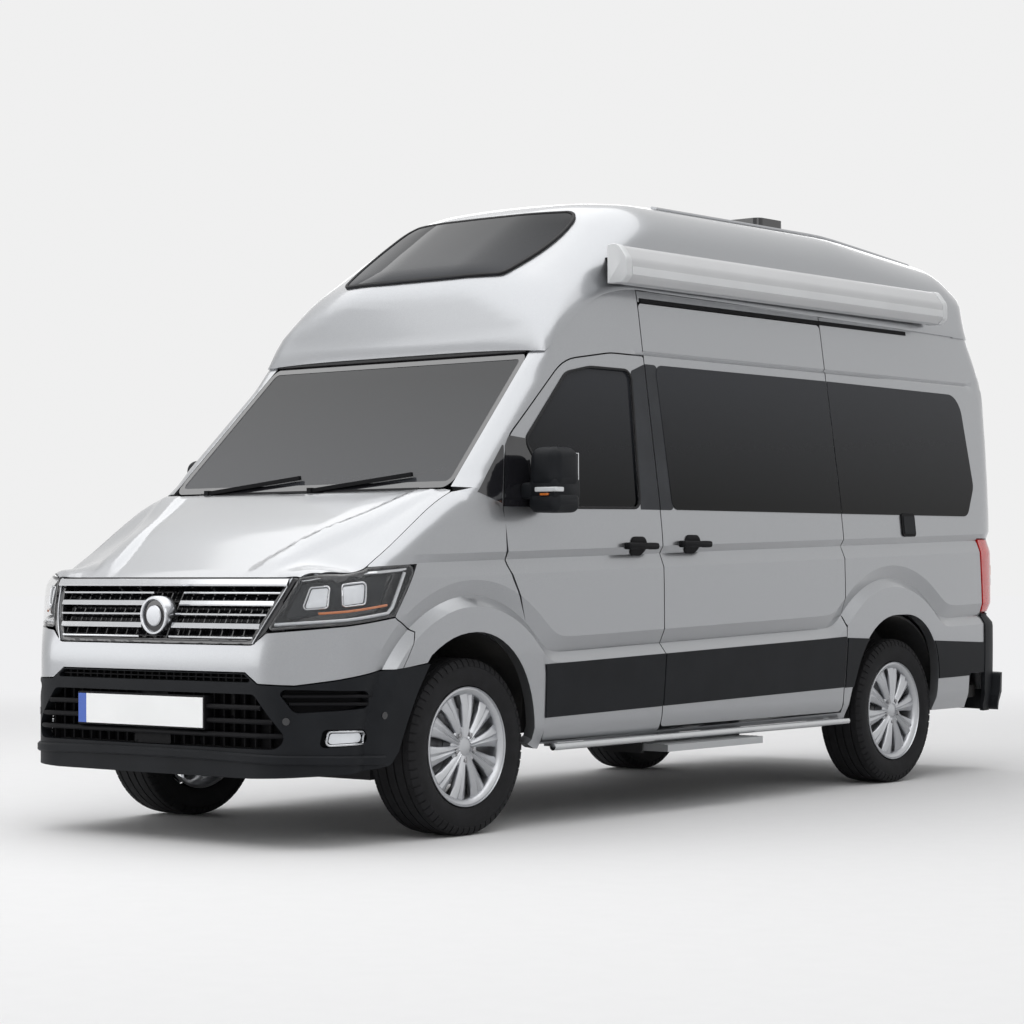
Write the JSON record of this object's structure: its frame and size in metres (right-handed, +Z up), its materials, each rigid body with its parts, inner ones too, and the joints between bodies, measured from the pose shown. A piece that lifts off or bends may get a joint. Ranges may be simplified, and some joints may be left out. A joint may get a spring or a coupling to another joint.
{
  "type": "high-roof camper van",
  "caption": "High-roof camper van with opening bonnet, hinged cab and rear doors, steered front wheels, side awning and slide-out step.",
  "frame": {"origin": "on the ground, midway along the length and on the centre plane", "axes": "+X to the vehicle's left, nose along -Y, +Z up"},
  "size_m": [2.4108, 5.9833, 3.092],
  "materials": {
    "body_paint": "metallic gloss",
    "tinted_glass": "polished",
    "dark_plastic": "satin",
    "black_gloss": "gloss",
    "lamp_lens": "clear",
    "red_lens": "gloss",
    "chassis_black": "matt",
    "cast_steel": "as cast",
    "engine_metal": "as cast",
    "cabin_plastic": "grained",
    "seat_fabric": "woven",
    "awning_white": "powder coat",
    "chrome_tube": "polished",
    "step_aluminium": "ribbed",
    "tyre_rubber": "matt",
    "wheel_silver": "lacquered"
  },
  "bodies": {
    "root": {"underbody": "chassis_black", "side_frame_left": "body_paint", "side_frame_right": "body_paint", "roof_cap": "body_paint", "skylight": "tinted_glass", "windscreen": "tinted_glass", "front_wings": "body_paint", "front_bumper": "body_paint", "grille": "black_gloss", "headlamps": "lamp_lens", "sliding_door": "body_paint", "side_glass": "tinted_glass", "tail_lamps": "red_lens", "front_axle": "cast_steel", "rear_axle": "cast_steel", "engine": "engine_metal", "dashboard": "cabin_plastic", "seats": "seat_fabric", "awning": "awning_white", "roof_fittings": "black_gloss", "side_bars": "chrome_tube", "rear_bumper": "dark_plastic", "scuttle": "dark_plastic"},
    "bonnet": {"bonnet": "body_paint"},
    "front_door_left": {"front_door_left": "body_paint", "front_door_glass_left": "tinted_glass", "mirror_left": "dark_plastic"},
    "rear_door_left": {"rear_door_left": "body_paint", "rear_door_glass_left": "tinted_glass"},
    "knuckle_left": {"knuckle_left": "cast_steel"},
    "front_door_right": {"front_door_right": "body_paint", "front_door_glass_right": "tinted_glass", "mirror_right": "dark_plastic"},
    "rear_door_right": {"rear_door_right": "body_paint", "rear_door_glass_right": "tinted_glass"},
    "knuckle_right": {"knuckle_right": "cast_steel"},
    "wheel_front_left": {"tyre_front_left": "tyre_rubber", "rim_front_left": "wheel_silver"},
    "wheel_front_right": {"tyre_front_right": "tyre_rubber", "rim_front_right": "wheel_silver"},
    "wheel_rear_left": {"tyre_rear_left": "tyre_rubber", "rim_rear_left": "wheel_silver"},
    "wheel_rear_right": {"tyre_rear_right": "tyre_rubber", "rim_rear_right": "wheel_silver"},
    "step": {"step_tread": "step_aluminium"}
  },
  "joints": [
    {"name": "bonnet_hinge", "type": "hinge", "parent": "root", "child": "bonnet", "pos_m": [0, -1.998, 1.545], "axis": [-1, 0, 0], "range_deg": [0, 50]},
    {"name": "front_door_hinge_left", "type": "hinge", "parent": "root", "child": "front_door_left", "pos_m": [1.024, -1.737, 0.9], "axis": [0, 0, -1], "range_deg": [0, 70]},
    {"name": "front_door_hinge_right", "type": "hinge", "parent": "root", "child": "front_door_right", "pos_m": [-1.024, -1.737, 0.9], "axis": [0, 0, 1], "range_deg": [0, 70]},
    {"name": "rear_door_hinge_left", "type": "hinge", "parent": "root", "child": "rear_door_left", "pos_m": [0.952, 2.782, 1.5], "axis": [0, 0, -1], "range_deg": [0, 180]},
    {"name": "rear_door_hinge_right", "type": "hinge", "parent": "root", "child": "rear_door_right", "pos_m": [-0.952, 2.782, 1.5], "axis": [0, 0, 1], "range_deg": [0, 180]},
    {"name": "steer_left", "type": "hinge", "parent": "root", "child": "knuckle_left", "pos_m": [0.79, -1.943, 0.394], "axis": [0, 0, 1], "range_deg": [-35, 35]},
    {"name": "steer_right", "type": "hinge", "parent": "root", "child": "knuckle_right", "pos_m": [-0.79, -1.943, 0.394], "axis": [0, 0, 1], "range_deg": [-35, 35]},
    {"name": "spin_front_left", "type": "hinge", "parent": "knuckle_left", "child": "wheel_front_left", "pos_m": [0.842, -1.943, 0.394], "axis": [1, 0, 0], "continuous": true},
    {"name": "spin_front_right", "type": "hinge", "parent": "knuckle_right", "child": "wheel_front_right", "pos_m": [-0.842, -1.943, 0.394], "axis": [1, 0, 0], "continuous": true},
    {"name": "spin_rear_left", "type": "hinge", "parent": "root", "child": "wheel_rear_left", "pos_m": [0.842, 1.697, 0.394], "axis": [1, 0, 0], "continuous": true},
    {"name": "spin_rear_right", "type": "hinge", "parent": "root", "child": "wheel_rear_right", "pos_m": [-0.842, 1.697, 0.394], "axis": [1, 0, 0], "continuous": true},
    {"name": "step_slide", "type": "slide", "parent": "root", "child": "step", "axis": [1, 0, 0], "range_m": [0, 0.25]}
  ],
  "couplings": [
    {"joint": "steer_right", "follows": "steer_left", "ratio": 1}
  ]
}
